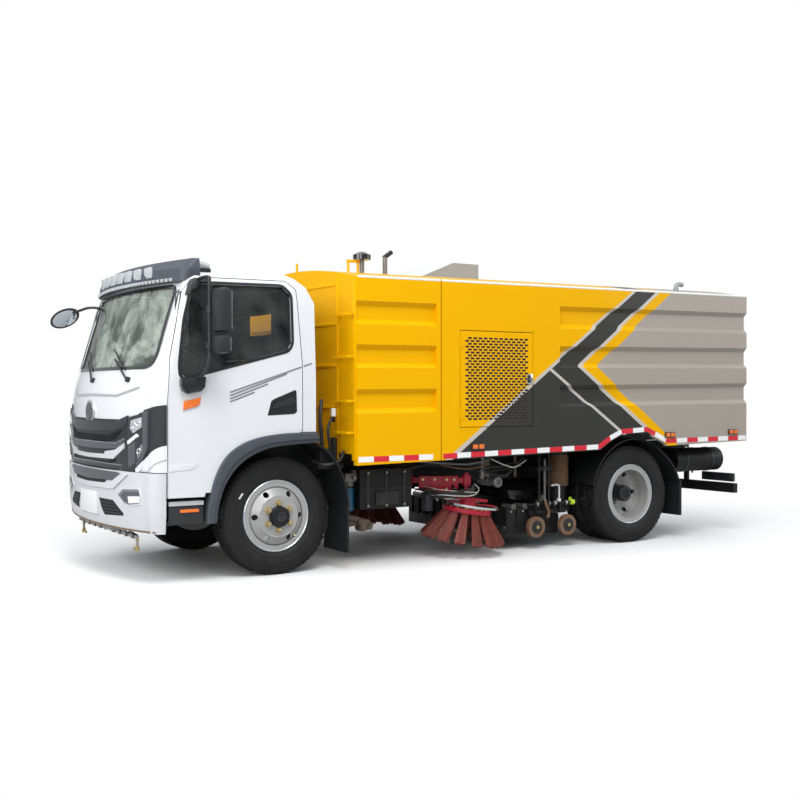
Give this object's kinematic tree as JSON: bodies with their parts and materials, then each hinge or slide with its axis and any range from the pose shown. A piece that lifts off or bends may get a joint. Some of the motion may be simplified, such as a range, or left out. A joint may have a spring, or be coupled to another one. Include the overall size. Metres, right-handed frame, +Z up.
{
  "type": "street sweeper truck",
  "caption": "Street sweeper truck with a white tilting cab, a yellow water tank and tipping hopper, red side brushes, a suction nozzle on casters and double rear wheels.",
  "frame": {"origin": "on the ground, at the middle of the overall length and width", "axes": "+X forward, from the tailgate to the bumper; +Y to the vehicle's left; +Z up"},
  "size_m": [6.732, 2.96, 2.8367],
  "materials": {
    "cab_white": "gloss white paint",
    "body_yellow": "gloss yellow paint",
    "roof_grey": "satin grey paint",
    "frame_black": "satin black paint",
    "engine_grey": "grey cast iron",
    "wheel_silver": "silver paint",
    "tyre_black": "black tyre rubber",
    "caster_brown": "brown solid rubber",
    "trim_black": "black moulded plastic",
    "lamp_lens": "clear lamp lens over a bright reflector",
    "window_glass": "tinted window glass",
    "brush_red": "dark red paint",
    "tuft_red": "worn red plastic bristle",
    "seat_fabric": "dark grey seat cloth"
  },
  "bodies": {
    "chassis": {"chassis_frame": "frame_black", "front_axle": "frame_black", "leaf_springs": "frame_black", "rear_axle": "frame_black", "drive_shaft": "frame_black", "main_engine": "engine_grey", "side_tanks": "frame_black", "air_tank": "frame_black", "underrun_bar": "frame_black", "front_mudguards": "trim_black", "rear_mudguards": "trim_black", "water_tank": "body_yellow", "roof_pipes": "roof_grey", "aux_engine": "engine_grey"},
    "cab": {"cab_shell": "cab_white", "cab_glass": "window_glass", "cab_flares": "roof_grey", "cab_steps": "wheel_silver", "sun_visor": "roof_grey", "wipers": "trim_black", "seats": "seat_fabric", "dashboard": "trim_black", "front_grille": "trim_black", "headlamps": "lamp_lens", "bumper": "cab_white", "spray_bar": "frame_black", "lookdown_mirror": "trim_black"},
    "hopper": {"hopper_body": "body_yellow", "roof_hood": "roof_grey"},
    "tailgate": {"tailgate": "body_yellow"},
    "nozzle": {"suction_nozzle": "frame_black"},
    "knuckle_left": {"knuckle_left": "frame_black"},
    "front_wheel_left": {"front_wheel_left": "wheel_silver", "front_tyre_left": "tyre_black"},
    "rear_wheels_left": {"rear_wheels_left": "wheel_silver", "rear_tyres_left": "tyre_black"},
    "door_left": {"cab_door_left": "cab_white", "door_glass_left": "window_glass", "mirror_left": "trim_black"},
    "service_door_left": {"service_door_left": "body_yellow"},
    "brush_arm_left": {"brush_arm_left": "brush_red"},
    "brush_head_left": {"brush_head_left": "brush_red"},
    "side_brush_left": {"side_brush_left": "tuft_red"},
    "caster_front_left": {"caster_front_left": "caster_brown"},
    "caster_rear_left": {"caster_rear_left": "caster_brown"},
    "knuckle_right": {"knuckle_right": "frame_black"},
    "front_wheel_right": {"front_wheel_right": "wheel_silver", "front_tyre_right": "tyre_black"},
    "rear_wheels_right": {"rear_wheels_right": "wheel_silver", "rear_tyres_right": "tyre_black"},
    "door_right": {"cab_door_right": "cab_white", "door_glass_right": "window_glass", "mirror_right": "trim_black"},
    "service_door_right": {"service_door_right": "body_yellow"},
    "brush_arm_right": {"brush_arm_right": "brush_red"},
    "brush_head_right": {"brush_head_right": "brush_red"},
    "side_brush_right": {"side_brush_right": "tuft_red"},
    "caster_front_right": {"caster_front_right": "caster_brown"},
    "caster_rear_right": {"caster_rear_right": "caster_brown"}
  },
  "joints": [
    {"name": "cab_tilt", "type": "hinge", "parent": "chassis", "child": "cab", "pos_m": [3.214, 0, 0.86], "axis": [0, 1, 0], "range_deg": [0, 50]},
    {"name": "hopper_tip", "type": "hinge", "parent": "chassis", "child": "hopper", "pos_m": [-3.266, 0, 0.93], "axis": [0, -1, 0], "range_deg": [0, 50]},
    {"name": "tailgate_open", "type": "hinge", "parent": "hopper", "child": "tailgate", "pos_m": [-3.346, 0, 2.443], "axis": [0, 1, 0], "range_deg": [0, 70]},
    {"name": "nozzle_lower", "type": "slide", "parent": "chassis", "child": "nozzle", "axis": [0, 0, -1], "range_m": [0, 0.11]},
    {"name": "steer_left", "type": "hinge", "parent": "chassis", "child": "knuckle_left", "pos_m": [2.084, 0.77, 0.485], "axis": [0, 0, 1], "range_deg": [-35, 35]},
    {"name": "front_wheel_spin_left", "type": "hinge", "parent": "knuckle_left", "child": "front_wheel_left", "pos_m": [2.084, 0.879, 0.485], "axis": [0, 1, 0], "continuous": true},
    {"name": "rear_wheels_spin_left", "type": "hinge", "parent": "chassis", "child": "rear_wheels_left", "pos_m": [-1.816, 0.814, 0.485], "axis": [0, 1, 0], "continuous": true},
    {"name": "door_left_open", "type": "hinge", "parent": "cab", "child": "door_left", "pos_m": [3.069, 1.13, 1.5], "axis": [0, 0, -1], "range_deg": [0, 70]},
    {"name": "service_door_left_open", "type": "hinge", "parent": "hopper", "child": "service_door_left", "pos_m": [0.406, 1.231, 1.6], "axis": [0, 0, -1], "range_deg": [0, 100]},
    {"name": "brush_arm_left_swing", "type": "hinge", "parent": "chassis", "child": "brush_arm_left", "pos_m": [0.524, 0.56, 0.69], "axis": [0, 0, -1], "range_deg": [0, 25]},
    {"name": "brush_left_lower", "type": "slide", "parent": "brush_arm_left", "child": "brush_head_left", "axis": [0, 0, -1], "range_m": [0, 0.13]},
    {"name": "brush_left_spin", "type": "hinge", "parent": "brush_head_left", "child": "side_brush_left", "pos_m": [0.089, 0.88, 0.405], "axis": [-0.132, 0.0835, 0.9877], "continuous": true},
    {"name": "caster_front_left_spin", "type": "hinge", "parent": "nozzle", "child": "caster_front_left", "pos_m": [-0.676, 0.95, 0.215], "axis": [0, 1, 0], "continuous": true},
    {"name": "caster_rear_left_spin", "type": "hinge", "parent": "nozzle", "child": "caster_rear_left", "pos_m": [-1.066, 0.95, 0.215], "axis": [0, 1, 0], "continuous": true},
    {"name": "steer_right", "type": "hinge", "parent": "chassis", "child": "knuckle_right", "pos_m": [2.084, -0.77, 0.485], "axis": [0, 0, 1], "range_deg": [-35, 35]},
    {"name": "front_wheel_spin_right", "type": "hinge", "parent": "knuckle_right", "child": "front_wheel_right", "pos_m": [2.084, -0.879, 0.485], "axis": [0, 1, 0], "continuous": true},
    {"name": "rear_wheels_spin_right", "type": "hinge", "parent": "chassis", "child": "rear_wheels_right", "pos_m": [-1.816, -0.814, 0.485], "axis": [0, 1, 0], "continuous": true},
    {"name": "door_right_open", "type": "hinge", "parent": "cab", "child": "door_right", "pos_m": [3.069, -1.13, 1.5], "axis": [0, 0, 1], "range_deg": [0, 70]},
    {"name": "service_door_right_open", "type": "hinge", "parent": "hopper", "child": "service_door_right", "pos_m": [0.406, -1.231, 1.6], "axis": [0, 0, 1], "range_deg": [0, 100]},
    {"name": "brush_arm_right_swing", "type": "hinge", "parent": "chassis", "child": "brush_arm_right", "pos_m": [0.524, -0.56, 0.69], "axis": [0, 0, 1], "range_deg": [0, 25]},
    {"name": "brush_right_lower", "type": "slide", "parent": "brush_arm_right", "child": "brush_head_right", "axis": [0, 0, -1], "range_m": [0, 0.13]},
    {"name": "brush_right_spin", "type": "hinge", "parent": "brush_head_right", "child": "side_brush_right", "pos_m": [0.089, -0.88, 0.405], "axis": [-0.132, -0.0835, 0.9877], "continuous": true},
    {"name": "caster_front_right_spin", "type": "hinge", "parent": "nozzle", "child": "caster_front_right", "pos_m": [-0.676, -0.95, 0.215], "axis": [0, 1, 0], "continuous": true},
    {"name": "caster_rear_right_spin", "type": "hinge", "parent": "nozzle", "child": "caster_rear_right", "pos_m": [-1.066, -0.95, 0.215], "axis": [0, 1, 0], "continuous": true}
  ],
  "couplings": [
    {"joint": "steer_right", "follows": "steer_left", "ratio": 1}
  ]
}
